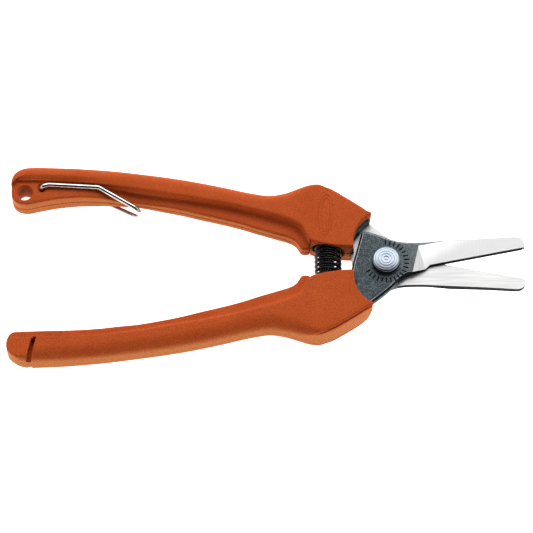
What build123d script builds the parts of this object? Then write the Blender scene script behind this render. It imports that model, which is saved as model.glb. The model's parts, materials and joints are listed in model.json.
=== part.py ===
from build123d import *
from math import asin, cos, degrees, radians, sin
import os

os.makedirs("parts", exist_ok=True)

# ---- driving dimensions, mm ----
PIVOT_X, PIVOT_Z = 43.4, 6.7        # pivot axis in the shared frame; z is the plane between the blades
HALF_THICK = 6.7                    # half thickness of the handles
GRIP_ROUND = 4.4                    # rounding of the outer side of the grip
BLADE_T = 2.9                       # blade stock
BLADE_GAP = 0.05                    # each blade's distance from the middle plane
EDGE_SLOPE = degrees(asin(0.195))   # angle of the cutting edge to the length
RIVET_R, HEAD_R, HEAD_H = 3.0, 5.0, 2.5
WASHER_R, WASHER_T = 5.0, 0.8
RUN = 0.05                          # running clearance, radial
SPRING_X, SPRING_R, SPRING_WIRE = -20.0, 4.35, 0.55
SPRING_HALF, SPRING_TURNS = 10.4, 9.5
SOCKET_R, SOCKET_FLOOR = 6.1, 11.0
LATCH_X, LATCH_Y, LATCH_WIRE = -125.7, 29.7, 1.0
HANG_X, HANG_Y, HANG_R = -131.9, 27.7, 2.6

MID = Plane(origin=(PIVOT_X, 0, PIVOT_Z))          # x to the blade tips, y to the upper handle
SIDE = Plane(origin=(PIVOT_X, 0, PIVOT_Z), x_dir=(1, 0, 0), z_dir=(0, -1, 0))

# Plan outlines of the upper half, about the pivot. The lower half is their mirror image.
OUTER = [(-25.2, 29.4), (-36.5, 27.45), (-48.5, 27.3), (-66.0, 31.7), (-104.0, 37.35), (-128.5, 38.75)]
STEP = [(-76.2, 25.3), (-67.6, 23.9), (-53.7, 21.0), (-44.0, 18.2), (-35.6, 15.4), (-31.4, 12.8),
        (-29.3, 9.0)]
STEP_UPPER = [(-136.4, 32.4), (-131.6, 32.3), (-118.6, 31.9), (-105.0, 30.6), (-95.6, 28.9),
              (-87.3, 27.4)] + STEP
STEP_LOWER = [(-137.2, 29.4), (-132.0, 30.1), (-118.0, 30.4), (-105.0, 30.0), (-95.6, 28.9), (-87.3, 27.4)] + STEP
EDGE = [(-31.2, 5.2), (-32.8, 8.3), (-35.3, 10.2), (-38.5, 11.4), (-45.8, 13.75), (-53.1, 16.2),
        (-60.4, 18.2), (-74.9, 21.9), (-89.5, 24.7)]
EDGE_UPPER = EDGE + [(-104.0, 26.4), (-111.3, 26.7), (-119.0, 25.9), (-126.7, 24.5), (-131.4, 23.4)]
EDGE_LOWER = EDGE + [(-104.0, 26.3), (-115.0, 27.1), (-134.4, 27.3)]
INNER_LINE = [(-130.0, 34.5), (-104.0, 33.5), (-74.9, 29.0), (-53.0, 24.0), (-40.0, 20.0), (-33.0, 16.0)]


def sided(points, side):
    """The plan points of the upper half, or their mirror image for the lower half."""
    return [(x, side * y) for x, y in points]


def grip(side, step, end):
    """Full-thickness grip: outer side of tangent arcs, rounded end and step line."""
    outer = sided(OUTER + [end], side)
    with BuildPart() as body:
        with BuildSketch(MID.offset(-HALF_THICK)):
            with BuildLine():
                heading = (-1, 0)
                for start, stop in zip(outer, outer[1:]):
                    heading = TangentArc(start, stop, tangent=heading) % 1
                Line(outer[-1], sided(step, side)[0])
                Spline(*sided(step, side))
                Polyline(sided(step, side)[-1], (-26.0, side * 9.0), outer[0])
            make_face()
        extrude(amount=2 * HALF_THICK)
        fillet(body.edges().filter_by(Plane.XY).filter_by(GeomType.CIRCLE), GRIP_ROUND)
    return body.part


def flange(side, edge, end, thickness):
    """Thin inner flange with its lug; its thickness follows the side profile."""
    inner = sided(edge, side)
    with BuildPart() as web:
        with BuildSketch(MID):
            with BuildLine():
                Polyline((-29.0, side * 9.5), (-28.5, side * 5.2), inner[0])
                Spline(*inner)
                Polyline(inner[-1], *sided(end, side), *sided(INNER_LINE, side), (-29.0, side * 9.5))
            make_face()
        extrude(amount=HALF_THICK, both=True)
        with BuildSketch(SIDE):
            Polygon(*thickness, *[(x, -z) for x, z in reversed(thickness)], align=None)
        extrude(amount=60, both=True, mode=Mode.INTERSECT)
    return web.part


def head(side):
    """Block behind the pivot that holds the tang and the spring socket."""
    with BuildPart() as block:
        with BuildSketch(MID):
            with BuildLine():
                Polyline(*sided([(-5.0, 17.8), (-14.9, 24.6), (-20.4, 27.9), (-25.2, 29.3), (-26.4, 28.4),
                                 (-28.2, 9.5), (-27.7, 6.75), (-11.6, 4.6)], side))
                ThreePointArc(*sided([(-11.6, 4.6), (-10.55, 12.33), (-5.0, 17.8)], side))
            make_face()
        extrude(amount=HALF_THICK, both=True)
        chamfer(block.edges().filter_by(Plane.XY), 0.5)
        with BuildSketch(Plane.XZ.offset(0)):
            with Locations((PIVOT_X + SPRING_X, PIVOT_Z)):
                Circle(SOCKET_R)
        extrude(amount=-side * SOCKET_FLOOR, mode=Mode.SUBTRACT)
    return block.part


# ---- blade: bolster, tang and ground face; the same pressing serves both halves ----
with BuildPart() as grind:
    cutting = Plane(origin=(PIVOT_X + 30.6, 1.8, PIVOT_Z),
                    x_dir=(-sin(radians(EDGE_SLOPE)), cos(radians(EDGE_SLOPE)), 0),
                    z_dir=(cos(radians(EDGE_SLOPE)), sin(radians(EDGE_SLOPE)), 0))
    with BuildSketch(cutting):
        Polygon((-2.0, 0.35), (8.6, 2.98), (8.6, 5.0), (-2.0, 5.0), align=None)
    extrude(amount=30, both=True)
    with BuildSketch(MID):
        Polygon((9.6, -4.4), (12.2, 6.4), (12.2, 14.0), (60.0, 14.0), (60.0, -10.0), (9.6, -10.0), align=None)
    extrude(amount=8, mode=Mode.INTERSECT)

with BuildPart() as front_blade:
    with BuildSketch(MID.offset(BLADE_GAP)):
        with BuildLine():
            Spline((-6.1, 12.0), (-0.8, 10.1), (4.2, 8.2), (8.4, 7.8), (15.4, 8.0), (34.3, 8.9), (47.0, 9.6))
            ThreePointArc((47.0, 9.6), (50.6, 8.4), (50.3, 5.9))
            Polyline((50.3, 5.9), (49.4, 5.55), (16.1, -1.1), (13.9, -2.2))
            Spline((13.9, -2.2), (9.6, -4.2), (4.2, -7.7), (-4.7, -15.7))
            Polyline((-4.7, -15.7), (-12.0, -22.0), (-19.0, -20.5), (-13.2, -12.5), (-12.9, -5.0),
                     (-12.1, -0.7), (-8.7, 10.7))
            ThreePointArc((-8.7, 10.7), (-7.8, 12.0), (-6.1, 12.0))
        make_face()
    extrude(amount=BLADE_T)
    add(grind.part, mode=Mode.SUBTRACT)
    with BuildSketch(MID):
        Circle(RIVET_R)
    extrude(amount=10, mode=Mode.SUBTRACT)

with BuildPart() as back_blade:
    add(front_blade.part.rotate(Axis((PIVOT_X, 0, PIVOT_Z), (1, 0, 0)), 180))
    with BuildSketch(MID):
        Circle(RIVET_R + RUN)
    extrude(amount=-10, mode=Mode.SUBTRACT)

# ---- handles, moulded round the tangs ----
UPPER_END, LOWER_END = (-136.4, 33.0), (-137.2, 30.9)
UPPER_SIDE = [(-140, 4.65), (-118, 4.6), (-106, 4.1), (-98, 2.7), (-92, 2.3), (-86, 2.6), (-78, 3.0), (-20, 3.0)]
LOWER_SIDE = [(-140, 3.8), (-115, 3.8), (-104, 3.2), (-90, 3.0), (-20, 3.0)]

with BuildPart() as upper_handle:
    add(grip(1, STEP_UPPER, UPPER_END))
    add(flange(1, EDGE_UPPER, [(-135.2, 24.6), (-136.4, 27.0), (-136.4, 33.5)], UPPER_SIDE))
    add(head(1))
    with BuildSketch(MID.offset(-HALF_THICK)):
        with Locations((HANG_X, HANG_Y)):
            Circle(HANG_R)
        with Locations((LATCH_X, LATCH_Y)):
            Circle(LATCH_WIRE + RUN)
    extrude(amount=2 * HALF_THICK, mode=Mode.SUBTRACT)
    add(back_blade.part, mode=Mode.SUBTRACT)

# catch slot for the latch, cut from both faces down to a thin web, with the thinned cap beyond it
SLOT_AT, SLOT_TILT, SLOT_W, WEB = (-129.25, -39.9), -13.5, 2.6, 2.2
with BuildPart() as lower_handle:
    add(grip(-1, STEP_LOWER, LOWER_END))
    add(flange(-1, EDGE_LOWER, [(-136.2, 28.6), (-137.0, 30.6), (-137.0, 33.5)], LOWER_SIDE))
    add(head(-1))
    with BuildSketch(SIDE):
        Polygon((-126.5, 7.0), (-128.0, 5.0), (-139.0, 2.6), (-139.0, 7.0), align=None)
        Polygon((-126.5, -7.0), (-128.0, -5.0), (-139.0, -2.6), (-139.0, -7.0), align=None)
    extrude(amount=60, both=True, mode=Mode.SUBTRACT)
    with BuildSketch(MID.offset(WEB), MID.offset(-HALF_THICK - 1)):
        with Locations(Location((SLOT_AT[0], SLOT_AT[1], 0), (0, 0, SLOT_TILT))):
            SlotOverall(22.0, SLOT_W, rotation=90)
    extrude(amount=HALF_THICK + 1 - WEB, mode=Mode.SUBTRACT)
    add(front_blade.part, mode=Mode.SUBTRACT)

# ---- pivot rivet: turned head in front, shank, formed end over a washer behind ----
FRONT, BACK = BLADE_GAP + BLADE_T, -BLADE_GAP - BLADE_T
with BuildPart() as pivot_rivet:
    with BuildSketch(Plane(origin=(PIVOT_X, 0, PIVOT_Z), x_dir=(1, 0, 0), z_dir=(0, -1, 0))):
        with BuildLine():
            Polyline((0, FRONT + HEAD_H), (2.0, FRONT + HEAD_H), (2.3, FRONT + HEAD_H - 0.25),
                     (3.0, FRONT + HEAD_H - 0.25), (3.3, FRONT + HEAD_H - 0.05), (4.3, FRONT + HEAD_H - 0.15),
                     (HEAD_R, FRONT + HEAD_H - 0.7), (HEAD_R, FRONT), (RIVET_R, FRONT),
                     (RIVET_R, BACK - RUN - WASHER_T), (4.1, BACK - RUN - WASHER_T),
                     (4.0, BACK - RUN - WASHER_T - 1.2), (2.4, BACK - RUN - WASHER_T - 2.0),
                     (0, BACK - RUN - WASHER_T - 2.0), close=True)
        make_face()
    revolve(axis=Axis((PIVOT_X, 0, PIVOT_Z), (0, 0, 1)))

with BuildPart() as pivot_washer:
    with BuildSketch(MID.offset(BACK - RUN - WASHER_T)):
        Circle(WASHER_R)
        Circle(RIVET_R, mode=Mode.SUBTRACT)
    extrude(amount=WASHER_T)

# ---- return spring: open coil between the two sockets ----
with BuildPart() as return_spring:
    with BuildLine():
        coil = Helix(pitch=2 * SPRING_HALF / SPRING_TURNS, height=2 * SPRING_HALF, radius=SPRING_R,
                     center=(PIVOT_X + SPRING_X, -SPRING_HALF, PIVOT_Z), direction=(0, 1, 0))
    with BuildSketch(Plane(origin=coil @ 0, z_dir=coil % 0)):
        Circle(SPRING_WIRE)
    sweep(is_frenet=True)

# ---- latch: bent wire bail, its two ends turned into the pivot hole ----
LEG_Z, BEND_Z, LOOP_Z = 5.72, 5.4, 3.5
BEND, LOOP, TIP = (-104.8, 29.0), (-92.9, 22.65), (-89.8, 21.0)


def at(x, y, z):
    """A point given about the pivot, in the shared frame."""
    return (x + PIVOT_X, y, z + PIVOT_Z)


with BuildPart() as latch_wire:
    with BuildLine():
        FilletPolyline(at(LATCH_X, LATCH_Y, 2.2), at(LATCH_X, LATCH_Y, LEG_Z), at(*BEND, BEND_Z),
                       at(*LOOP, LOOP_Z + 0.6), at(*TIP, LOOP_Z), at(*TIP, -LOOP_Z),
                       at(*LOOP, -LOOP_Z - 0.6), at(*BEND, -BEND_Z),
                       at(LATCH_X, LATCH_Y, -LEG_Z), at(LATCH_X, LATCH_Y, -2.2),
                       radius=(1.05, 4, 4, 3.3, 3.3, 4, 4, 1.05))
    with BuildSketch(Plane(origin=at(LATCH_X, LATCH_Y, 2.2), z_dir=(0, 0, 1))):
        Circle(LATCH_WIRE)
    sweep()

# ---- one file for each piece ----
upper_handle.part.label = "upper_handle"
export_step(upper_handle.part, "parts/upper_handle.step")
lower_handle.part.label = "lower_handle"
export_step(lower_handle.part, "parts/lower_handle.step")
front_blade.part.label = "front_blade"
export_step(front_blade.part, "parts/front_blade.step")
back_blade.part.label = "back_blade"
export_step(back_blade.part, "parts/back_blade.step")
pivot_rivet.part.label = "pivot_rivet"
export_step(pivot_rivet.part, "parts/pivot_rivet.step")
pivot_washer.part.label = "pivot_washer"
export_step(pivot_washer.part, "parts/pivot_washer.step")
return_spring.part.label = "return_spring"
export_step(return_spring.part, "parts/return_spring.step")
latch_wire.part.label = "latch_wire"
export_step(latch_wire.part, "parts/latch_wire.step")
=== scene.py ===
import json
from math import cos, pi, radians, sin, sqrt, tan

import bmesh
import bpy
import numpy as np
from mathutils import Matrix, Vector


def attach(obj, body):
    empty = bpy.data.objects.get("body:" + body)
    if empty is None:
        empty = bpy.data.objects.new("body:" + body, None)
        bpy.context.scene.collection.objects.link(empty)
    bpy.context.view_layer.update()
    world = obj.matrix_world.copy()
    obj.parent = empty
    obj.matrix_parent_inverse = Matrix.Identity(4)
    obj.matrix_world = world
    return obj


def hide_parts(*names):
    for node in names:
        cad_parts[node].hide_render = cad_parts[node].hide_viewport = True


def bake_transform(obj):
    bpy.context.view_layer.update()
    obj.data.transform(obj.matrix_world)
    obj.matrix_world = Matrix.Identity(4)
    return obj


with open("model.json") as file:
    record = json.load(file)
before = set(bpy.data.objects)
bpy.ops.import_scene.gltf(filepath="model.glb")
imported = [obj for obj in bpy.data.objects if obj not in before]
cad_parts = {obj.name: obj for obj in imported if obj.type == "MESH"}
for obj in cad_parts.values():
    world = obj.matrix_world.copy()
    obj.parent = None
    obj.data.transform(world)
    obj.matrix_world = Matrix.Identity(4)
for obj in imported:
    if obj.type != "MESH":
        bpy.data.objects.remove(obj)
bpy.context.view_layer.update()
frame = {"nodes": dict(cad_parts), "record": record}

# The pivot axis crosses the plane between the blades here; every outline below is in mm about this point.
PIVOT = Vector([joint["pos_m"] for joint in frame["record"]["behaviour"]["joints"]
                if joint["name"] == "pivot"][0])
MM = 0.001
HALF = 6.7           # half thickness of the handles


def place(x, y, z):
    """A point in mm about the pivot, in the row frame in metres."""
    return (PIVOT.x + x * MM, PIVOT.y + y * MM, PIVOT.z + z * MM)


# ---- camera, floor and lights ----
PICTURE_PX, MM_PER_PX, SENSOR = 533, 0.364, 36
ELEVATION, ROLL, DISTANCE = radians(65), radians(-0.3), 1.08
TENT, TENT_OPENING = 1.0, 0.02       # strength of the light tent and of its dark opening
FLOOR_HALF, FLOOR_Z = 3, -0.0002


def add_camera():
    """The photo's view, from above the front and very slightly rolled."""
    target = Vector((0.0, -0.0004, PIVOT.z))
    data = bpy.data.cameras.new("camera")
    data.sensor_width = SENSOR
    data.lens = SENSOR * DISTANCE / (PICTURE_PX * MM_PER_PX * MM)
    data.clip_start, data.clip_end = 0.05, 20
    camera = bpy.data.objects.new("camera", data)
    bpy.context.collection.objects.link(camera)
    back = Vector((0, -cos(ELEVATION), sin(ELEVATION)))
    rotation = back.to_track_quat("Z", "Y").to_matrix() @ Matrix.Rotation(ROLL, 3, "Z")
    camera.matrix_world = Matrix.Translation(target + back * DISTANCE) @ rotation.to_4x4()
    bpy.context.scene.camera = camera


def add_area(name, location, aim, size, watts):
    """A white rectangular lamp pointing at aim."""
    data = bpy.data.lights.new(name, "AREA")
    data.shape, data.size, data.size_y = "RECTANGLE", size[0], size[1]
    data.energy = watts
    lamp = bpy.data.objects.new(name, data)
    bpy.context.collection.objects.link(lamp)
    lamp.location = location
    lamp.rotation_euler = (Vector(aim) - Vector(location)).to_track_quat("-Z", "Y").to_euler()


def principled(name, colour, roughness, metallic=0.0):
    """A new material with its principled shader's uniform values set."""
    material = bpy.data.materials.new(name)
    material.use_nodes = True
    shader = material.node_tree.nodes["Principled BSDF"]
    shader.inputs["Base Color"].default_value = (*colour, 1)
    shader.inputs["Roughness"].default_value = roughness
    shader.inputs["Metallic"].default_value = metallic
    return material, shader


def add_world():
    """A pale light tent with a dark opening above the front, where a photographer would stand."""
    world = bpy.data.worlds.new("studio")
    world.use_nodes = True
    tree = world.node_tree
    tree.nodes["Background"].inputs["Color"].default_value = (1, 1, 1, 1)
    coords = tree.nodes.new("ShaderNodeTexCoord")
    toward = tree.nodes.new("ShaderNodeVectorMath")
    toward.operation = "DOT_PRODUCT"
    toward.inputs[1].default_value = (0, -0.56, 0.83)
    fade = tree.nodes.new("ShaderNodeMapRange")
    fade.interpolation_type = "SMOOTHSTEP"
    fade.inputs["From Min"].default_value, fade.inputs["From Max"].default_value = 0.60, 0.74
    fade.inputs["To Min"].default_value, fade.inputs["To Max"].default_value = TENT, TENT_OPENING
    tree.links.new(coords.outputs["Generated"], toward.inputs[0])
    tree.links.new(toward.outputs["Value"], fade.inputs["Value"])
    tree.links.new(fade.outputs["Result"], tree.nodes["Background"].inputs["Strength"])
    bpy.context.scene.world = world


def add_studio():
    """A white glowing floor, one soft lamp behind and above, and the light tent."""
    floor = bpy.data.meshes.new("floor")
    corners = [(x * FLOOR_HALF, y * FLOOR_HALF, FLOOR_Z) for x, y in ((-1, -1), (1, -1), (1, 1), (-1, 1))]
    floor.from_pydata(corners, [], [(0, 1, 2, 3)])
    ground = bpy.data.objects.new("floor", floor)
    bpy.context.collection.objects.link(ground)
    pale, shader = principled("floor_pale", (0.86, 0.86, 0.86), 0.8)
    shader.inputs["Emission Color"].default_value = (1, 1, 1, 1)
    shader.inputs["Emission Strength"].default_value = 1.3
    floor.materials.append(pale)
    add_area("top_soft", (0.1, 0.55, 0.75), (0, 0, 0), (1.0, 0.6), 6.9)
    add_world()
    bpy.context.scene.view_settings.view_transform = "Standard"


# ---- mesh helpers ----
BOX_FACES = [(3, 2, 1, 0), (4, 5, 6, 7), (0, 1, 5, 4), (1, 2, 6, 5), (2, 3, 7, 6), (3, 0, 4, 7)]
CUTTER = bpy.data.materials.new("cutter")      # a cutter's face takes the piece's material of its slot number
DOME = [(0.35, 0.45), (0.22, 0.8)]             # reach and radius of a wire end's two rings, in wire radii


def new_piece(name, points, faces, material, body=None, replaced=None, sharp=40):
    """A mesh piece from points in mm about the pivot; without a body it is a cutter or stays a loose piece."""
    mesh = bpy.data.meshes.new(name)
    mesh.from_pydata([place(*p) for p in points], [], faces)
    mesh.validate()
    mesh.polygons.foreach_set("use_smooth", [True] * len(mesh.polygons))
    mesh.materials.append(material)
    piece = bpy.data.objects.new(name, mesh)
    bpy.context.collection.objects.link(piece)
    recalc(piece)
    mesh.set_sharp_from_angle(angle=radians(sharp))
    if body:
        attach(piece, body)
        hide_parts(replaced)
    return piece


def recalc(piece):
    """Merges doubled points, drops slivers and turns the normals outwards."""
    work = bmesh.new()
    work.from_mesh(piece.data)
    bmesh.ops.remove_doubles(work, verts=work.verts, dist=2e-6)
    bmesh.ops.dissolve_degenerate(work, edges=work.edges, dist=1e-6)
    bmesh.ops.recalc_face_normals(work, faces=work.faces)
    work.to_mesh(piece.data)
    work.free()


def cut(piece, cutters, sharp=40):
    """Cuts the cutters out of the piece for good, in millimetres for precision, then removes them."""
    for part in (piece, *cutters):
        part.data.transform(Matrix.Scale(1 / MM, 4))
    for cutter in cutters:
        modifier = piece.modifiers.new("cut", "BOOLEAN")
        modifier.operation, modifier.solver, modifier.object = "DIFFERENCE", "EXACT", cutter
    depsgraph = bpy.context.evaluated_depsgraph_get()
    mesh = bpy.data.meshes.new_from_object(piece.evaluated_get(depsgraph))
    mesh.transform(Matrix.Scale(MM, 4))
    piece.modifiers.clear()
    old, piece.data = piece.data, mesh
    bpy.data.meshes.remove(old)
    for cutter in cutters:
        bpy.data.objects.remove(cutter)
    mesh.polygons.foreach_set("use_smooth", [True] * len(mesh.polygons))
    mesh.set_sharp_from_angle(angle=radians(sharp))


def skin(rings, count):
    """The quads between neighbouring rings of count points each."""
    return [(i * count + k, i * count + (k + 1) % count, (i + 1) * count + (k + 1) % count, (i + 1) * count + k)
            for i in range(rings - 1) for k in range(count)]


def end_caps(rings, count):
    """The two faces that close the first and the last ring."""
    return [tuple(reversed(range(count))), tuple((rings - 1) * count + k for k in range(count))]


def lathe(name, profile, centre, axis, material, turns=72, body=None, replaced=None):
    """A turned solid: profile is (radius, height) pairs from bottom to top, closed at both ends."""
    a = Vector(axis).normalized()
    u = a.orthogonal().normalized()
    v = a.cross(u)
    points = []
    for r, h in profile:
        for k in range(turns):
            t = 2 * pi * k / turns
            points.append(Vector(centre) + a * h + (u * cos(t) + v * sin(t)) * r)
    faces = skin(len(profile), turns) + end_caps(len(profile), turns)
    return new_piece(name, points, faces, material, body, replaced, 30)


def tube(name, path, radius, sides, material, body, replaced):
    """A round wire along a path of points in mm, with domed ends."""
    path = [Vector(p) for p in path]
    last = len(path) - 1
    tangents = [(path[min(i + 1, last)] - path[max(i - 1, 0)]).normalized() for i in range(last + 1)]
    normal = tangents[0].orthogonal().normalized()
    rings = []
    for i, (p, t) in enumerate(zip(path, tangents)):
        normal = (normal - t * normal.dot(t)).normalized()
        rings.append((p, normal.copy(), t.cross(normal), radius))
    (p, n, b, _), (q, m, c, _) = rings[0], rings[-1]
    start = [(p - tangents[0] * radius * reach, n, b, radius * share) for reach, share in DOME]
    end = [(q + tangents[-1] * radius * reach, m, c, radius * share) for reach, share in reversed(DOME)]
    rings = start + rings + end
    points = []
    for p, n, b, r in rings:
        for k in range(sides):
            a = 2 * pi * k / sides
            points.append(p + (n * cos(a) + b * sin(a)) * r)
    faces = skin(len(rings), sides) + end_caps(len(rings), sides)
    return new_piece(name, points, faces, material, body, replaced, 60)


def through(knots):
    """A smooth curve y(x) through (x, y) knots that never overshoots them."""
    knots = sorted(knots)
    xs, ys = np.array([k[0] for k in knots]), np.array([k[1] for k in knots], float)
    h, d = np.diff(xs), np.diff(ys) / np.diff(xs)
    m = np.zeros(len(xs))
    for i in range(1, len(xs) - 1):
        if d[i - 1] * d[i] > 0:
            w1, w2 = 2 * h[i] + h[i - 1], h[i] + 2 * h[i - 1]
            m[i] = (w1 + w2) / (w1 / d[i - 1] + w2 / d[i])
    m[0], m[-1] = d[0], d[-1]

    def curve(x):
        i = int(np.clip(np.searchsorted(xs, x) - 1, 0, len(h) - 1))
        t = min(max((x - xs[i]) / h[i], 0.0), 1.0)
        return ((2 * t ** 3 - 3 * t ** 2 + 1) * ys[i] + (t ** 3 - 2 * t ** 2 + t) * h[i] * m[i]
                + (3 * t ** 2 - 2 * t ** 3) * ys[i + 1] + (t ** 3 - t ** 2) * h[i] * m[i + 1])
    return curve


# ---- materials ----
def nodes_of(material):
    """The material's node tree, its nodes and its links."""
    tree = material.node_tree
    return tree, tree.nodes, tree.links


def noise(tree, scale, detail=2.0, stretch=None, rough=0.5):
    """A noise texture in object space, in metres, stretched along an axis if asked."""
    coords = tree.nodes.new("ShaderNodeTexCoord")
    mapping = tree.nodes.new("ShaderNodeMapping")
    if stretch:
        mapping.inputs["Scale"].default_value = stretch[0]
        mapping.inputs["Rotation"].default_value = stretch[1]
    tex = tree.nodes.new("ShaderNodeTexNoise")
    tex.inputs["Scale"].default_value = scale
    tex.inputs["Detail"].default_value = detail
    tex.inputs["Roughness"].default_value = rough
    tree.links.new(coords.outputs["Object"], mapping.inputs["Vector"])
    tree.links.new(mapping.outputs["Vector"], tex.inputs["Vector"])
    return tex.outputs["Fac"]


def ramp(tree, source, stops):
    """Colours or greys by position along a source value."""
    node = tree.nodes.new("ShaderNodeValToRGB")
    while len(node.color_ramp.elements) < len(stops):
        node.color_ramp.elements.new(0.5)
    for element, (at, colour) in zip(node.color_ramp.elements, stops):
        element.position = at
        element.color = (*colour, 1) if isinstance(colour, tuple) else (colour, colour, colour, 1)
    tree.links.new(source, node.inputs["Fac"])
    return node.outputs["Color"]


def bump(tree, source, strength, depth, after=None):
    """A bump of the given depth in metres, on top of another normal if given."""
    node = tree.nodes.new("ShaderNodeBump")
    node.inputs["Strength"].default_value = strength
    node.inputs["Distance"].default_value = depth
    tree.links.new(source, node.inputs["Height"])
    if after:
        tree.links.new(after, node.inputs["Normal"])
    return node.outputs["Normal"]


def mix(tree, a, b, factor, mode="MIX"):
    """Mixes two colours, each a value or a socket."""
    node = tree.nodes.new("ShaderNodeMix")
    node.data_type, node.blend_type = "RGBA", mode
    for socket, value in ((node.inputs[0], factor), (node.inputs[6], a), (node.inputs[7], b)):
        if isinstance(value, bpy.types.NodeSocket):
            tree.links.new(value, socket)
        else:
            socket.default_value = value if isinstance(value, float) else (*value, 1)
    return node.outputs[2]


WALL_FULL, WALL_END = 3.4 * MM, 5.0 * MM       # distance from the middle plane where the walls' painted tan sheen fades out


def painted_sheen_mask(tree):
    """Where the painted sheen goes: 1 on upright walls near the middle plane, fading to 0 towards the front and
    back faces.
    """
    links = tree.links
    coords = tree.nodes.new("ShaderNodeTexCoord")
    split = tree.nodes.new("ShaderNodeSeparateXYZ")
    size = tree.nodes.new("ShaderNodeMath")
    size.operation = "ABSOLUTE"
    links.new(coords.outputs["Normal"], split.inputs[0])
    links.new(split.outputs["Z"], size.inputs[0])
    wall = ramp(tree, size.outputs[0], [(0.12, 1.0), (0.60, 0.0)])
    spot = tree.nodes.new("ShaderNodeSeparateXYZ")
    height = tree.nodes.new("ShaderNodeMath")
    height.operation = "SUBTRACT"
    height.inputs[1].default_value = PIVOT.z
    depth = tree.nodes.new("ShaderNodeMath")
    depth.operation = "ABSOLUTE"
    low = tree.nodes.new("ShaderNodeMapRange")
    low.inputs["From Min"].default_value, low.inputs["From Max"].default_value = WALL_FULL, WALL_END
    low.inputs["To Min"].default_value, low.inputs["To Max"].default_value = 1.0, 0.0
    links.new(coords.outputs["Object"], spot.inputs[0])
    links.new(spot.outputs["Z"], height.inputs[0])
    links.new(height.outputs[0], depth.inputs[0])
    links.new(depth.outputs[0], low.inputs["Value"])
    return mix(tree, wall, low.outputs["Result"], 1.0, "MULTIPLY")


def orange_plastic():
    """Matt moulded plastic with a fine spark-eroded grain, an uneven colour and a painted tan sheen on its
    upright walls.
    """
    material, shader = principled("orange_plastic", (0.5, 0.08, 0.02), 0.5)
    shader.inputs["Specular IOR Level"].default_value = 0.02
    tree, _, links = nodes_of(material)
    cloud = ramp(tree, noise(tree, 90, 3), [(0.3, (0.415, 0.068, 0.0150)), (0.7, (0.455, 0.080, 0.0190))])
    # The tan mixed in on the upright walls is a painted sheen of grazing light, not a colour of the plastic.
    pigment_and_sheen = mix(tree, cloud, (0.490, 0.150, 0.041), painted_sheen_mask(tree))
    speck = ramp(tree, noise(tree, 3000, 1), [(0.35, 0.76), (0.65, 1.24)])
    links.new(mix(tree, pigment_and_sheen, speck, 1.0, "MULTIPLY"), shader.inputs["Base Color"])
    links.new(ramp(tree, noise(tree, 1500, 2), [(0.3, 0.44), (0.7, 0.58)]), shader.inputs["Roughness"])
    grain = bump(tree, noise(tree, 2400, 3), 0.45, 0.00008)
    links.new(bump(tree, noise(tree, 500, 2), 0.10, 0.0002, grain), shader.inputs["Normal"])
    return material


def phosphated_steel():
    """Dark blue-grey phosphated steel with pale speckles, and painted shading that pales it towards +x."""
    material, shader = principled("phosphated_steel", (0.09, 0.12, 0.14), 0.5, 0.5)
    tree, _, links = nodes_of(material)
    base = ramp(tree, noise(tree, 1300, 6, rough=0.75),
                [(0.38, (0.004, 0.010, 0.013)), (0.52, (0.015, 0.029, 0.035)), (0.66, (0.052, 0.072, 0.079))])
    speck = ramp(tree, noise(tree, 3400, 2), [(0.58, 0.0), (0.70, 0.5)])
    coords = tree.nodes.new("ShaderNodeTexCoord")
    split = tree.nodes.new("ShaderNodeSeparateXYZ")
    # Painted shading: from 1 mm to 16 mm along +x from the pivot, the steel is mixed up to 42 % towards a paler
    # grey.
    painted_shading = tree.nodes.new("ShaderNodeMapRange")
    painted_shading.inputs["From Min"].default_value = PIVOT.x + 1 * MM
    painted_shading.inputs["From Max"].default_value = PIVOT.x + 16 * MM
    painted_shading.inputs["To Max"].default_value = 0.42
    links.new(coords.outputs["Object"], split.inputs[0])
    links.new(split.outputs["X"], painted_shading.inputs["Value"])
    base = mix(tree, base, (0.20, 0.215, 0.22), painted_shading.outputs["Result"])
    links.new(mix(tree, base, (0.36, 0.39, 0.40), speck), shader.inputs["Base Color"])
    links.new(ramp(tree, noise(tree, 1200, 3), [(0.3, 0.42), (0.7, 0.62)]), shader.inputs["Roughness"])
    links.new(bump(tree, noise(tree, 1800, 4, rough=0.7), 0.6, 0.00008), shader.inputs["Normal"])
    return material


def ground_steel(name, dark, light, turn, lines=(60, 2200, 2200), metallic=0.35, gloss=0.5):
    """Ground steel: fine lines in one direction."""
    material, shader = principled(name, light, 0.3, metallic)
    shader.inputs["Specular IOR Level"].default_value = gloss
    tree, _, links = nodes_of(material)
    grain = noise(tree, 1.0, 3, (lines, (0, 0, turn)), 0.5)
    links.new(ramp(tree, grain, [(0.3, dark), (0.7, light)]), shader.inputs["Base Color"])
    links.new(ramp(tree, grain, [(0.3, 0.42), (0.7, 0.30)]), shader.inputs["Roughness"])
    links.new(bump(tree, grain, 0.10, 0.00001), shader.inputs["Normal"])
    return material


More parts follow.
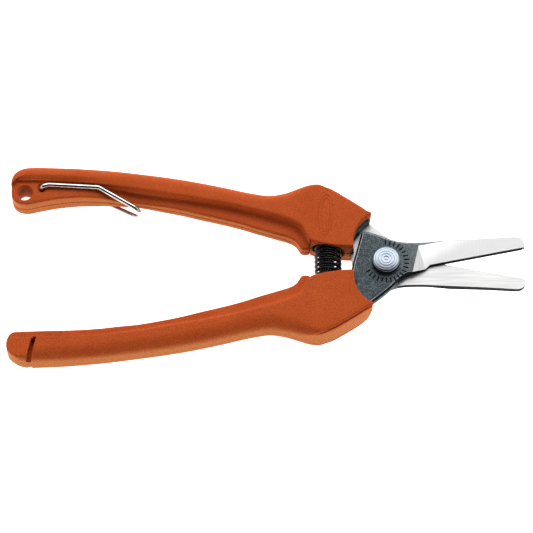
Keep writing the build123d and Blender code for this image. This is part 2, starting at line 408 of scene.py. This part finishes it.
def turned_steel():
    """Bright turned steel of the rivet: rings left by the tool."""
    material, shader = principled("turned_steel", (0.78, 0.81, 0.86), 0.25, 1.0)
    tree, nodes, links = nodes_of(material)
    coords = nodes.new("ShaderNodeTexCoord")
    shift = nodes.new("ShaderNodeMapping")
    shift.inputs["Location"].default_value = (-PIVOT.x, -PIVOT.y, -PIVOT.z)
    rings = nodes.new("ShaderNodeTexWave")
    rings.wave_type, rings.rings_direction = "RINGS", "Z"
    rings.inputs["Scale"].default_value = 900
    rings.inputs["Distortion"].default_value = 1.2
    rings.inputs["Detail"].default_value = 2
    links.new(coords.outputs["Object"], shift.inputs["Vector"])
    links.new(shift.outputs["Vector"], rings.inputs["Vector"])
    links.new(ramp(tree, rings.outputs["Fac"], [(0.0, (0.15, 0.178, 0.21)), (1.0, (0.235, 0.258, 0.285))]),
              shader.inputs["Base Color"])
    links.new(ramp(tree, rings.outputs["Fac"], [(0.0, 0.34), (1.0, 0.2)]), shader.inputs["Roughness"])
    links.new(bump(tree, rings.outputs["Fac"], 0.3, 0.00003), shader.inputs["Normal"])
    return material


def black_wire():
    """Black oil-hardened spring wire."""
    material, shader = principled("black_wire", (0.008, 0.008, 0.009), 0.16)
    shader.inputs["Specular IOR Level"].default_value = 0.12
    tree, _, links = nodes_of(material)
    links.new(ramp(tree, noise(tree, 900, 3), [(0.3, (0.001, 0.001, 0.001)), (0.7, (0.006, 0.006, 0.006))]),
              shader.inputs["Base Color"])
    links.new(ramp(tree, noise(tree, 1600, 2), [(0.3, 0.10), (0.7, 0.24)]), shader.inputs["Roughness"])
    links.new(bump(tree, noise(tree, 1500, 2), 0.08, 0.00003), shader.inputs["Normal"])
    return material


def bright_wire():
    """Bright drawn wire with faint scratches."""
    material, shader = principled("bright_wire", (0.50, 0.50, 0.50), 0.08, 1.0)
    tree, _, links = nodes_of(material)
    links.new(ramp(tree, noise(tree, 800, 4), [(0.3, (0.42, 0.42, 0.42)), (0.7, (0.62, 0.62, 0.61))]),
              shader.inputs["Base Color"])
    links.new(ramp(tree, noise(tree, 2400, 3), [(0.3, 0.04), (0.7, 0.12)]), shader.inputs["Roughness"])
    links.new(bump(tree, noise(tree, 2000, 3), 0.12, 0.00002), shader.inputs["Normal"])
    return material


# ---- handles ----
OUTER_UPPER = [(-136.9, 33.2), (-136.6, 34.8), (-135.6, 36.5), (-134.0, 37.7), (-131.8, 38.5), (-128.5, 38.75),
               (-118.6, 38.5), (-104, 37.6), (-89.5, 35.9), (-74.9, 33.65), (-60.4, 30.65), (-53.0, 28.85),
               (-48.0, 27.75), (-42.2, 26.95), (-36.7, 27.75), (-31.2, 29.6), (-27.5, 30.35), (-25.2, 30.4),
               (-20.4, 28.75), (-14.9, 25.3), (-6.2, 19.2), (-5.4, 18.6)]
OUTER_LOWER = [(-137.1, 31.9), (-136.9, 33.2), (-136.0, 35.1), (-134.2, 36.9), (-131.8, 38.2), (-128.5, 38.75),
               (-118.6, 38.5), (-104, 37.4), (-89.5, 35.6), (-74.9, 33.4), (-60.4, 30.4), (-53.0, 28.6),
               (-48.0, 27.5), (-42.2, 26.7), (-36.7, 27.5), (-31.2, 29.0), (-27.5, 29.6), (-25.2, 29.6),
               (-20.4, 28.2), (-14.9, 25.1), (-6.2, 19.4), (-5.4, 18.9)]
INNER = [(-30.2, 5.2), (-30.9, 5.6), (-31.5, 6.6), (-32.8, 8.4), (-35.3, 9.9), (-38.5, 10.95), (-45.8, 13.25),
         (-53.1, 15.7), (-60.4, 17.7), (-67.6, 19.5), (-74.9, 21.4), (-82.2, 22.9), (-89.5, 24.2)]
HEAD_INNER = [(-29.4, 5.1), (-28.2, 5.15), (-27.85, 5.4), (-27.6, 6.0), (-27.5, 6.8), (-27.0, 7.0),
              (-26.8, 6.9), (-26.4, 6.7), (-12.3, 4.65), (-11.9, 4.95)]
INNER_UPPER = INNER + HEAD_INNER + [(-136.9, 27.8), (-136.6, 26.3), (-135.7, 24.9), (-134.5, 23.9),
                                    (-132.9, 23.4), (-131.4, 23.2), (-126.7, 24.1), (-119, 25.5),
                                    (-111.3, 26.1), (-104, 25.9), (-96.8, 25.0)]
INNER_LOWER = INNER + HEAD_INNER + [(-137.1, 31.0), (-136.6, 29.6), (-135.9, 28.4), (-134.4, 27.3),
                                    (-128, 27.0), (-115, 26.7), (-104, 25.9), (-96.8, 25.0)]
STEP = [(-87.3, 27.4), (-76.2, 25.3), (-67.6, 23.9), (-53.7, 21.0), (-44, 18.2), (-35.6, 15.4),
        (-30.8, 12.7), (-28.9, 9.5), (-28.1, 7.7), (-27.5, 7.0)]
STEP_UPPER = [(-137, 32.4), (-131.6, 32.3), (-118.6, 31.9), (-105, 30.6), (-95.6, 29.0)] + STEP
STEP_LOWER = [(-137.2, 30.0), (-130, 30.1), (-118, 30.3), (-105, 29.8), (-95.6, 28.6)] + STEP
FLANGE_UPPER = [(-137, 4.65), (-118, 4.6), (-106, 4.1), (-98, 2.7), (-92, 2.3), (-86, 2.6), (-78, 3.0),
                (-28.5, 3.0)]
FLANGE_LOWER = [(-138, 3.8), (-118, 3.8), (-104, 3.3), (-90, 3.0), (-28.5, 3.0)]
ROUND = [(-128, 4.4), (-118, 4.6), (-60, 4.9), (-40, 5.1), (-33, 4.6), (-28.5, 3.2), (-25.5, 1.8), (-23, 1.15),
         (-5, 1.1)]
ARC_X, ARC_Y, ARC_R = 0.2, 7.0, 12.0      # clearance arc round the pivot in each head
SLOT_X, SLOT_Y, SLOT_TILT, SLOT_W, SLOT_HALF, WEB = -129.2, -40.6, radians(-13.5), 1.85, 11, 2.2
HEAD_START = -27.45                       # the head's full thickness begins here
END_ROUND, END_SQUEEZE = 4.6, 1.2         # length of the fine rows and of the rounding at a handle's left end
HANG_X, HANG_Y, HANG_R = -131.9, 27.7, 2.6
LATCH_X, LATCH_Y, LATCH_HOLE_R = -125.7, 29.7, 1.06
SPRING_X, SOCKET_X, SOCKET_R, SOCKET_LENGTH = -21.0, -20.8, 6.0, 13.0


def arc(cy, cz, ry, rz, a0, a1, count):
    """Points on an elliptical arc, with its angles in degrees."""
    angles = [radians(a0 + (a1 - a0) * k / count) for k in range(count + 1)]
    return [(cy + ry * cos(a), cz + rz * sin(a)) for a in angles]


def profile(y_in, y_out, y_step, z_flange, r_out, r_in, scoop, crease, droop):
    """Front half of a handle's section, from the middle of its inner wall to the middle of its outer wall."""
    width = y_out - y_in
    crease *= min(1.0, width / 4)
    edge = y_out - 0.5 * crease
    r_out = min(r_out, width * 0.45)
    r_in = min(r_in, width * 0.2, z_flange * 0.6)
    rise = HALF - droop - z_flange
    y_step = min(max(y_step, y_in + r_in + 0.02), edge - r_out - 0.04)
    s = min(scoop, rise * 0.55 + 0.001)
    c = min(scoop * 0.6, rise * 0.4 + 0.001)
    groove = 0.16 if z_flange > 1.2 else 0.0
    pts = [(y_in + groove, 0.0), (y_in + groove, 0.12), (y_in, 0.3), (y_in, max(0.4, (z_flange - r_in) * 0.6))]
    pts += arc(y_in + r_in, z_flange - r_in, r_in, r_in, 180, 90, 5)
    base = max(y_step - s, y_in + r_in + 0.01)
    pts += [(y_in + r_in + (base - y_in - r_in) * k / 3, z_flange) for k in (1, 2)]
    pts += arc(base, z_flange + s, y_step - base, s, -90, 0, 5)
    top = min(y_step + 0.15 + c, edge - r_out - 0.02)
    pts += arc(top, HALF - droop - c, top - y_step - 0.1, c, 180, 90, 5)
    pts += [(top + (edge - r_out - top) * k / 8, HALF - droop * (1 - k / 8) ** 1.3) for k in range(1, 8)]
    pts += arc(edge - r_out, HALF - r_out, r_out, r_out, 90, 0, 10)
    lip = HALF - r_out
    deep = min(1.0, (lip - 0.45) / 1.4)
    pts += [(edge - 0.02 * crease, lip - 0.9 * deep),
            (y_out - 0.16 * crease, lip - (1.0 - 0.95 * crease) * deep),
            (y_out - 0.03 * crease, lip - (1.1 - 0.9 * crease) * deep),
            (y_out, lip - (1.3 - 0.8 * crease) * deep),
            (y_out, 0.3), (y_out, 0.12), (y_out, 0.0)]
    return pts


def spread(a, b, step):
    """Even values from a up to but not including b, about step apart."""
    count = max(1, round(abs(b - a) / step))
    return [a + (b - a) * k / count for k in range(count)]


def tip_rake(x, z):
    """How far the back of a head's tip leans back from its front."""
    return 1.5 * max(0.0, (x + 11) / 5.65) ** 2 * max(0.0, (3 - z) / 9.7) ** 2 if x > -11 else 0.0


def handle(side, inner, outer, step, flange, end_x, cap):
    """Points and faces of one moulded handle; side 1 is the upper handle, -1 the lower.

    Each row along x is a closed ring: the front half of the section and its mirror image behind.
    """
    y_in, y_out, y_step, z_fl = through(inner), through(outer), through(step), through(flange)
    rounding = through(ROUND)
    xs = [end_x + END_ROUND * (1 - cos(radians(a))) for a in range(0, 90, 5)]
    xs += spread(end_x + END_ROUND, -33, 0.7) + spread(-33, -28.0, 0.3)
    xs += [-27.9, -27.75, -27.6, -27.5, -27.35, -27.1, -26.95, -26.8, -26.6]
    xs += spread(-26.4, -12.3, 0.6) + [-12.3, -12.1, -11.95, -11.83]
    xs += [ARC_X - ARC_R * cos(radians(a)) for a in np.linspace(2, 59.5, 33)] + [-5.7, -5.5, -5.3, -5.1]
    rings = []
    for x in xs:
        in_head = x > HEAD_START
        low = y_in(x) if x < -11.9 else ARC_Y + sqrt(max(0.0, ARC_R ** 2 - (x - ARC_X) ** 2))
        if -11.9 <= x < -11.8:
            low = max(4.95, ARC_Y - sqrt(max(0.0, ARC_R ** 2 - (x - ARC_X) ** 2)))
        high = y_out(x) - (1.0 - sqrt(max(0.0, 1.0 - max(0.0, x + 6.05) ** 2)))
        high = max(high, low + 0.25)
        z_half = HALF - 0.02 if in_head else z_fl(x)
        scoop = 0.35 + 1.45 * min(1.0, max(0.0, (x + 112) / 26)) + 1.0 * min(1.0, max(0.0, (x + 50) / 18))
        scoop *= min(1.0, max(0.2, (-27.4 - x) / 3))
        crease = min(1.0, max(0.0, (x + 27) / 7))
        droop = min(1.0, max(0.0, (-90 - x) / 24)) if side > 0 else 0.0
        pts = profile(low, high, low + 1.2 if in_head else y_step(x), z_half, rounding(x),
                      0.6 if in_head else 0.9, scoop, crease, droop)
        over = max(0.0, END_SQUEEZE - (x - end_x))
        squeeze = END_SQUEEZE - sqrt(max(0.0, END_SQUEEZE ** 2 - over ** 2))
        ring = [(y, cap(x, y, z) - squeeze * (z > 1.5)) for y, z in pts]
        section = ring + [(y, -z) for y, z in reversed(ring[1:-1])]
        rings.append([(x - tip_rake(x, z), side * y, z) for y, z in section])
    count = len(rings[0])
    points = [p for ring in rings for p in ring]
    faces = skin(len(rings), count)
    for i in (0, len(rings) - 1):
        for k in range(count // 2):
            a, b = i * count + k, i * count + k + 1
            c, d = i * count + (count - k - 1) % count, i * count + (count - k) % count
            quad = list(dict.fromkeys((a, b, c, d)))
            if len(quad) > 2:
                faces.append(tuple(quad))
    return points, faces


def uncapped(x, y, z):
    """The upper handle keeps its section's heights to the end."""
    return z


def thinned_cap(x, y, z):
    """The lower handle beyond the catch slot slopes down to its thin end."""
    beyond = (SLOT_X - x) + (SLOT_Y + y) * tan(SLOT_TILT)
    return z if beyond < 0 else min(z, 5.9 - beyond * 0.28)


def cylinder(name, radius, start, axis, length, flare=0.0, sink=0.0, turns=64):
    """A cutter: a cylinder, flared at its start and end if asked."""
    body = [(radius, 0), (radius, length)]
    if flare:
        wide = radius + flare
        body = [(wide, -0.5), (wide, sink), (radius, sink + flare),
                (radius, length - sink - flare), (wide, length - sink), (wide, length + 0.5)]
    return lathe(name, body, start, axis, CUTTER, turns)


ORANGE = orange_plastic()
DARK = phosphated_steel()
GROUND = ground_steel("ground_steel", (0.90, 0.90, 0.90), (0.98, 0.98, 0.98), radians(8), (3200, 120, 1))
INNER_FACE = ground_steel("inner_face_steel", (0.36, 0.36, 0.36), (0.56, 0.56, 0.555), radians(-12),
                          (60, 4200, 1))

add_camera()
add_studio()

points, faces = handle(1, INNER_UPPER, OUTER_UPPER, STEP_UPPER, FLANGE_UPPER, -136.9, uncapped)
upper = new_piece("upper_handle_moulding", points, faces, ORANGE, "upper_half", "upper_handle")
cut(upper, [cylinder("hang_hole", HANG_R, (HANG_X, HANG_Y, -5.0), (0, 0, 1), 10.0, 0.7, 0.35),
            cylinder("latch_hole", LATCH_HOLE_R, (LATCH_X, LATCH_Y, -5.2), (0, 0, 1), 10.4, 0.75, 0.9),
            cylinder("upper_socket", SOCKET_R, (SOCKET_X, -2, 0), (0, 1, 0), SOCKET_LENGTH)])


def oval_groove(name, long_axis, short_axis, centre=(-21.8, 16.9), lean=radians(-4), radius=0.32):
    """A cutter for a plain engraved oval: a thin ring laid on the front face."""
    turns, sides = 96, 10
    points, faces = [], []
    for i in range(turns):
        t = 2 * pi * i / turns
        across, along = Vector((cos(lean), sin(lean))), Vector((-sin(lean), cos(lean)))
        p = across * short_axis * cos(t) + along * long_axis * sin(t)
        out = (across * cos(t) / short_axis + along * sin(t) / long_axis).normalized()
        for k in range(sides):
            a = 2 * pi * k / sides
            q = p + out * radius * cos(a)
            points.append((centre[0] + q.x, centre[1] + q.y, HALF + radius * 0.5 + radius * sin(a)))
            faces.append((i * sides + k, i * sides + (k + 1) % sides,
                          (i + 1) % turns * sides + (k + 1) % sides, (i + 1) % turns * sides + k))
    return new_piece(name, points, faces, CUTTER)


cut(upper, [oval_groove("outer_oval", 8.2, 2.7), oval_groove("inner_oval", 6.9, 1.6)])
points, faces = handle(-1, INNER_LOWER, OUTER_LOWER, STEP_LOWER, FLANGE_LOWER, -137.1, thinned_cap)
lower = new_piece("lower_handle_moulding", points, faces, ORANGE, "lower_half", "lower_handle")


def slot_cutter(name, z0, z1):
    """A cutter for one side of the latch's catch slot."""
    c, s = cos(SLOT_TILT), sin(SLOT_TILT)
    pts = []
    for z in (z0, z1):
        for u, v in ((-1, -1), (1, -1), (1, 0.96), (-1, 0.96)):
            du, dv = u * SLOT_W / 2, v * SLOT_HALF
            pts.append((SLOT_X + du * c - dv * s, SLOT_Y + du * s + dv * c, z))
    return new_piece(name, pts, BOX_FACES, CUTTER)


cut(lower, [slot_cutter("front_slot", WEB, 9), slot_cutter("back_slot", -9, -WEB),
            cylinder("lower_socket", SOCKET_R, (SOCKET_X, 2, 0), (0, -1, 0), SOCKET_LENGTH)])

# ---- blades ----
EDGE_AT, EDGE_SLOPE = (30.6, 1.8), 0.199
TOP_EDGE = [(-8.95, 10.9), (-8.8, 11.7), (-8.25, 12.3), (-7.4, 12.5), (-6.1, 12.35), (-3.4, 11.4), (-0.8, 10.4),
            (1.8, 9.3), (4.2, 8.5), (6.3, 8.15), (8.4, 8.05), (12.0, 8.0), (15.4, 8.1)]
SPINE = [(23.0, 8.5), (34.3, 9.05), (41.6, 9.55), (46.8, 9.95), (48.1, 9.9), (49.2, 9.6), (50.0, 9.0),
         (50.5, 8.2), (50.76, 7.3), (50.8, 6.6), (50.7, 6.1), (50.4, 5.85)]
LOWER_EDGE = [(14.3, -2.4), (11.9, -3.2), (9.6, -4.2), (8.2, -4.8), (7.0, -5.5), (5.6, -6.5), (4.2, -7.7),
              (2.4, -9.6), (0.6, -11.3), (-1.8, -13.4), (-4.7, -15.7), (-12.0, -22.0), (-19.0, -20.5),
              (-13.2, -12.5), (-12.9, -5.0), (-12.1, -0.7)]
STOCK, GAP, EDGE_T, BEVEL_W = 2.95, 0.05, 1.35, 0.40
GRIND_W, EDGE_TIP_X = 7.95, 49.7
HEEL, EDGE_HEEL, APEX = (14.3, -2.4), (16.1, -1.1), (12.0, 6.2)
HEEL_Z, EDGE_Z = 1.2, 0.12           # heights of the blade's heel and of the cutting edge
FREE_X = 3.5                         # walls beyond this x take the near-black material of dark steel and painted shade, the rest the bolster's
RIM = [(0.95, 0.0), (0.68, 0.05), (0.0, 0.9)]      # inset and drop of the two strips of the rim round the bolster
BOLSTER, GRIND, FACET_SLOT, DARK_AND_SHADE_SLOT, INSIDE, EDGE_HIGHLIGHT_SLOT = range(6)     # the blade's material slots


def edge_distance(x, y):
    """Distance of a plan point from the line of the cutting edge."""
    return (y - EDGE_AT[1] - EDGE_SLOPE * (x - EDGE_AT[0])) / sqrt(1 + EDGE_SLOPE ** 2)


def ground_height(x, y):
    """Height of the flat ground face, up to the blade's stock."""
    d = edge_distance(x, y)
    return min(STOCK, EDGE_T + max(d, 0.0) * (STOCK - EDGE_T) / GRIND_W)


def inset(chain, amount, drop):
    """The points of an open outline moved inwards and down, except its two ends."""
    moved = [(chain[0], STOCK)]
    for before, p, after in zip(chain, chain[1:], chain[2:]):
        t = (Vector(after) - Vector(before)).normalized()
        moved.append(((p[0] + t.y * amount, p[1] - t.x * amount), STOCK - drop))
    return moved + [(chain[-1], STOCK)]


def blade(name, flip, body, node):
    """One blade: dark bolster, facet, ground face and fine secondary bevel at the cutting edge."""
    edge_tip = (EDGE_TIP_X, EDGE_AT[1] + EDGE_SLOPE * (EDGE_TIP_X - EDGE_AT[0]))
    u = Vector((1, EDGE_SLOPE)).normalized()
    n = Vector((-u.y, u.x))
    bevel_heel = tuple(Vector(EDGE_HEEL) + n * BEVEL_W)
    bevel_tip = tuple(Vector(edge_tip) + n * BEVEL_W + u * 0.5)
    verts, faces, slots = {}, [], []

    def v(p, z):
        key = (round(p[0], 4), round(p[1], 4), round(z, 4))
        return verts.setdefault(key, len(verts))

    def top(p):
        return v(p, STOCK)

    def low(p):
        return v(p, ground_height(*p))

    def face(slot, corners):
        faces.append(corners)
        slots.append(slot)

    chain = LOWER_EDGE[2:] + TOP_EDGE + [SPINE[0]]
    # The rim round the bolster: a pale strip painted as the highlight on its rounded edge, then a near-black
    # strip painted as the shade where the edge falls away.
    rings = [[v(p, z) for p, z in inset(chain, *level)] for level in RIM]
    face(BOLSTER, rings[0] + [top(APEX)])
    for (upper_ring, lower_ring), slot in zip(zip(rings, rings[1:]), (EDGE_HIGHLIGHT_SLOT, DARK_AND_SHADE_SLOT)):
        for corners in zip(upper_ring, upper_ring[1:], lower_ring[1:], lower_ring):
            corners = list(dict.fromkeys(corners))
            if len(corners) > 2:
                face(slot, corners)
    face(FACET_SLOT, [top(APEX), v(HEEL, HEEL_Z), top(LOWER_EDGE[2])])
    face(GRIND, [top(APEX), top(SPINE[0])] + [low(p) for p in SPINE[1:]]
         + [low(bevel_tip), low(bevel_heel), v(HEEL, HEEL_Z)])
    face(DARK_AND_SHADE_SLOT, [low(bevel_tip), v(edge_tip, EDGE_Z), v(EDGE_HEEL, EDGE_Z), low(bevel_heel)])
    face(DARK_AND_SHADE_SLOT, [low(bevel_heel), v(EDGE_HEEL, EDGE_Z), v(HEEL, HEEL_Z)])
    shoulder_z = STOCK - RIM[-1][1]
    rim = [(p, shoulder_z) for p in TOP_EDGE] + [(SPINE[0], STOCK)]
    rim += [(p, ground_height(*p)) for p in SPINE[1:]]
    rim += [(bevel_tip, ground_height(*bevel_tip)), (edge_tip, EDGE_Z), (EDGE_HEEL, EDGE_Z), (HEEL, HEEL_Z)]
    rim += [(LOWER_EDGE[2], STOCK)] + [(p, shoulder_z) for p in LOWER_EDGE[3:]]
    # Walls near the cutting part are near-black: dark steel, with the shade on them painted in.
    for (p, zp), (q, zq) in zip(rim, rim[1:] + rim[:1]):
        slot = DARK_AND_SHADE_SLOT if min(p[0], q[0]) > FREE_X else BOLSTER
        face(slot, [v(p, zp), v(p, GAP), v(q, GAP), v(q, zq)])
    face(INSIDE, [v(p, GAP) for p, _ in rim])
    points = [None] * len(verts)
    for key, index in verts.items():
        points[index] = (key[0], -key[1], -key[2]) if flip else key
    piece = new_piece(name, points, faces, DARK, body, node, 20)
    for material in (GROUND, FACET, DARK_STEEL_AND_SHADE, INNER_FACE, EDGE_HIGHLIGHT):
        piece.data.materials.append(material)
    piece.data.polygons.foreach_set("material_index", slots)
    return piece


FACET = ground_steel("facet_steel", (0.54, 0.54, 0.54), (0.70, 0.70, 0.70), radians(10), (3200, 120, 1))
# Near-black steel almost without reflection: painted shade on the bolster's outer strip, the blade walls and
# the rivet's side, and the dark colour of the secondary bevel and the strokes.
DARK_STEEL_AND_SHADE = ground_steel("dark_steel_and_painted_shade", (0.004, 0.006, 0.007), (0.014, 0.018, 0.021), 0.0, (90, 2400, 1), 0.0, 0.02)
# A paler steel for the painted highlight on the bolster's rounded edge.
EDGE_HIGHLIGHT = ground_steel("painted_edge_highlight_steel", (0.09, 0.11, 0.12), (0.24, 0.26, 0.27), 0.0, (900, 900, 900))
front = blade("front_blade_plate", False, "lower_half", "front_blade")
back = blade("back_blade_plate", True, "upper_half", "back_blade")


STROKE_R0, STROKE_R1, STROKE_HALF, STROKE_DEPTH = 6.6, 8.5, 0.27, 0.45
BORE_R = 3.05


def stamp(piece):
    """A ring of plain radial strokes pressed into the bolster round the rivet."""
    cutters = []
    for turn in range(-150, 91, 12):
        a = radians(turn)
        out, across = Vector((cos(a), sin(a))), Vector((-sin(a), cos(a)))
        corners = [out * r + across * w for r, w in ((STROKE_R0, -STROKE_HALF), (STROKE_R1, -STROKE_HALF),
                                                     (STROKE_R1, STROKE_HALF), (STROKE_R0, STROKE_HALF))]
        points = [(p.x, p.y, z) for z in (STOCK - STROKE_DEPTH, STOCK + 1) for p in corners]
        stroke = new_piece("stroke", points, BOX_FACES, CUTTER)
        for _ in range(DARK_AND_SHADE_SLOT):
            stroke.data.materials.append(CUTTER)
        stroke.data.polygons.foreach_set("material_index", [DARK_AND_SHADE_SLOT] * len(BOX_FACES))
        cutters.append(stroke)
    cut(piece, cutters, 20)


stamp(front)
for plate in (front, back):
    cut(plate, [cylinder("bore", BORE_R, (0, 0, -5), (0, 0, 1), 10.0)], 20)


SHOULDER_R = 13.0                    # outer radius, inside the moulding


def shoulder(name, flip, body, node, start):
    """The raised steel edge of the tang that lines the clearance arc of its head."""
    steps = np.radians(np.linspace(start, 190.5, 40))
    near = through([(110, 11.3), (125, 11.0), (150, 10.8), (163, 11.5), (174, 11.93), (191, 11.93)])
    section = [(0.0, -2.9), (0.0, 2.5), (0.15, 2.95), (0.45, 3.15), (0.9, 3.15), (1.0, 3.15), (1.0, -2.9)]
    points = []
    for a in steps:
        r_near = near(np.degrees(a))
        for share, z in section:
            r = r_near + share * (SHOULDER_R - r_near)
            points.append((ARC_X + r * cos(a), ARC_Y + r * sin(a), z))
    if not flip:
        points = [(x, -y, -z) for x, y, z in points]
    n = len(section)
    faces = skin(len(steps), n) + end_caps(len(steps), n)
    return new_piece(name, points, faces, DARK, body, node, 35)


shoulder("back_blade_shoulder", True, "upper_half", "back_blade", 121)
shoulder("front_blade_shoulder", False, "lower_half", "front_blade", 130)

# ---- rivet and washer ----
BLADE_T = 2.9
FACE = GAP + BLADE_T                 # underside of the rivet's head
rivet = lathe("pivot_rivet_turned",
              [(2.2, -6.0), (3.1, -5.6), (3.8, -5.0), (4.0, -4.4), (4.0, -3.86), (3.0, -3.84), (3.0, FACE),
               (4.85, FACE), (5.0, FACE + 0.15), (5.0, FACE + 1.95), (4.85, FACE + 2.2), (4.6, FACE + 2.36),
               (4.4, FACE + 2.42), (4.02, FACE + 2.43), (3.95, FACE + 2.39), (3.85, FACE + 2.43),
               (3.05, FACE + 2.44), (2.95, FACE + 2.38), (2.80, FACE + 2.38), (2.65, FACE + 2.44),
               (1.95, FACE + 2.44), (1.88, FACE + 2.41), (1.78, FACE + 2.44), (0.95, FACE + 2.45),
               (0.85, FACE + 2.41), (0.70, FACE + 2.41), (0.55, FACE + 2.45), (0.1, FACE + 2.46)],
              (0, 0, 0), (0, 0, 1), turned_steel(), 128, "lower_half", "pivot_rivet")
rivet.data.materials.append(DARK_STEEL_AND_SHADE)
# The side walls of the rivet's head take the near-black material: a painted shadow under the head's rim.
for polygon in rivet.data.polygons:
    if abs(polygon.normal.z) < 0.3 and polygon.center.z > PIVOT.z + FACE * MM:
        polygon.material_index = 1
washer = frame["nodes"]["pivot_washer"]
washer.data.materials.clear()
washer.data.materials.append(ground_steel("washer_steel", (0.45, 0.46, 0.47), (0.7, 0.71, 0.72), 0.3))

# ---- spring ----
TURNS, WIRE_R, COIL_R, LENGTH = 11.5, 0.62, 4.4, 21.0
COIL_STEPS, COIL_START, SEAT = 40, 0.6, 0.56       # points a turn, first angle, inset of the coil's ends


def coil_path():
    """A coil along y with closer end turns, flared a little at its upper end."""
    rises = [0.52 if t < 1 or t > TURNS - 1 else 1.0
             for t in ((k + 0.5) / COIL_STEPS for k in range(int(TURNS * COIL_STEPS)))]
    shares = np.cumsum([0] + rises)
    shares = shares / shares[-1]
    path = []
    for k, share in enumerate(shares):
        a = 2 * pi * k / COIL_STEPS + COIL_START
        r = COIL_R * (1 + 0.15 * max(0.0, (k / COIL_STEPS - TURNS + 1.4) / 1.4))
        path.append((SPRING_X + r * cos(a), -LENGTH / 2 + SEAT + (LENGTH - 2 * SEAT) * share, r * sin(a)))
    return path


spring = tube("return_spring_coil", coil_path(), WIRE_R, 16, black_wire(), None, None)
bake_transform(spring)
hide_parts("return_spring")


# ---- latch ----
def rounded(corners, radii, steps=10):
    """A path with its corners turned to arcs."""
    corners = [Vector(c) for c in corners]
    path = [corners[0]]
    for before, corner, after, r in zip(corners, corners[1:], corners[2:], radii):
        a, b = (before - corner).normalized(), (after - corner).normalized()
        angle = a.angle(b)
        back = r / np.tan(angle / 2)
        centre = corner + (a + b).normalized() * (r / sin(angle / 2))
        p, q = corner + a * back, corner + b * back
        u, w = (p - centre), (q - centre)
        turn = u.angle(w)
        for k in range(steps + 1):
            f = k / steps
            path.append(centre + (u * sin((1 - f) * turn) + w * sin(f * turn)) / sin(turn))
    path.append(corners[-1])
    return path


BAIL_R = 0.84
half = [(LATCH_X, LATCH_Y, 2.2), (LATCH_X, LATCH_Y, 5.72), (-123.3, 30.5, 5.72), (-104.8, 29.5, 5.4),
        (-89.8, 21.0, 3.5)]
corners = half + [(x, y, -z) for x, y, z in reversed(half)]
bail = rounded(corners, (1.05, 3, 4, 3.35, 3.35, 4, 3, 1.05), 12)
dense = []                           # the bail's points, less than 2 mm apart
for p, q in zip(bail, bail[1:]):
    n = max(1, int((q - p).length))
    dense += [p.lerp(q, k / n) for k in range(n)]
dense.append(bail[-1])
tube("latch_wire_bail", dense, BAIL_R, 20, bright_wire(), "latch", "latch_wire")
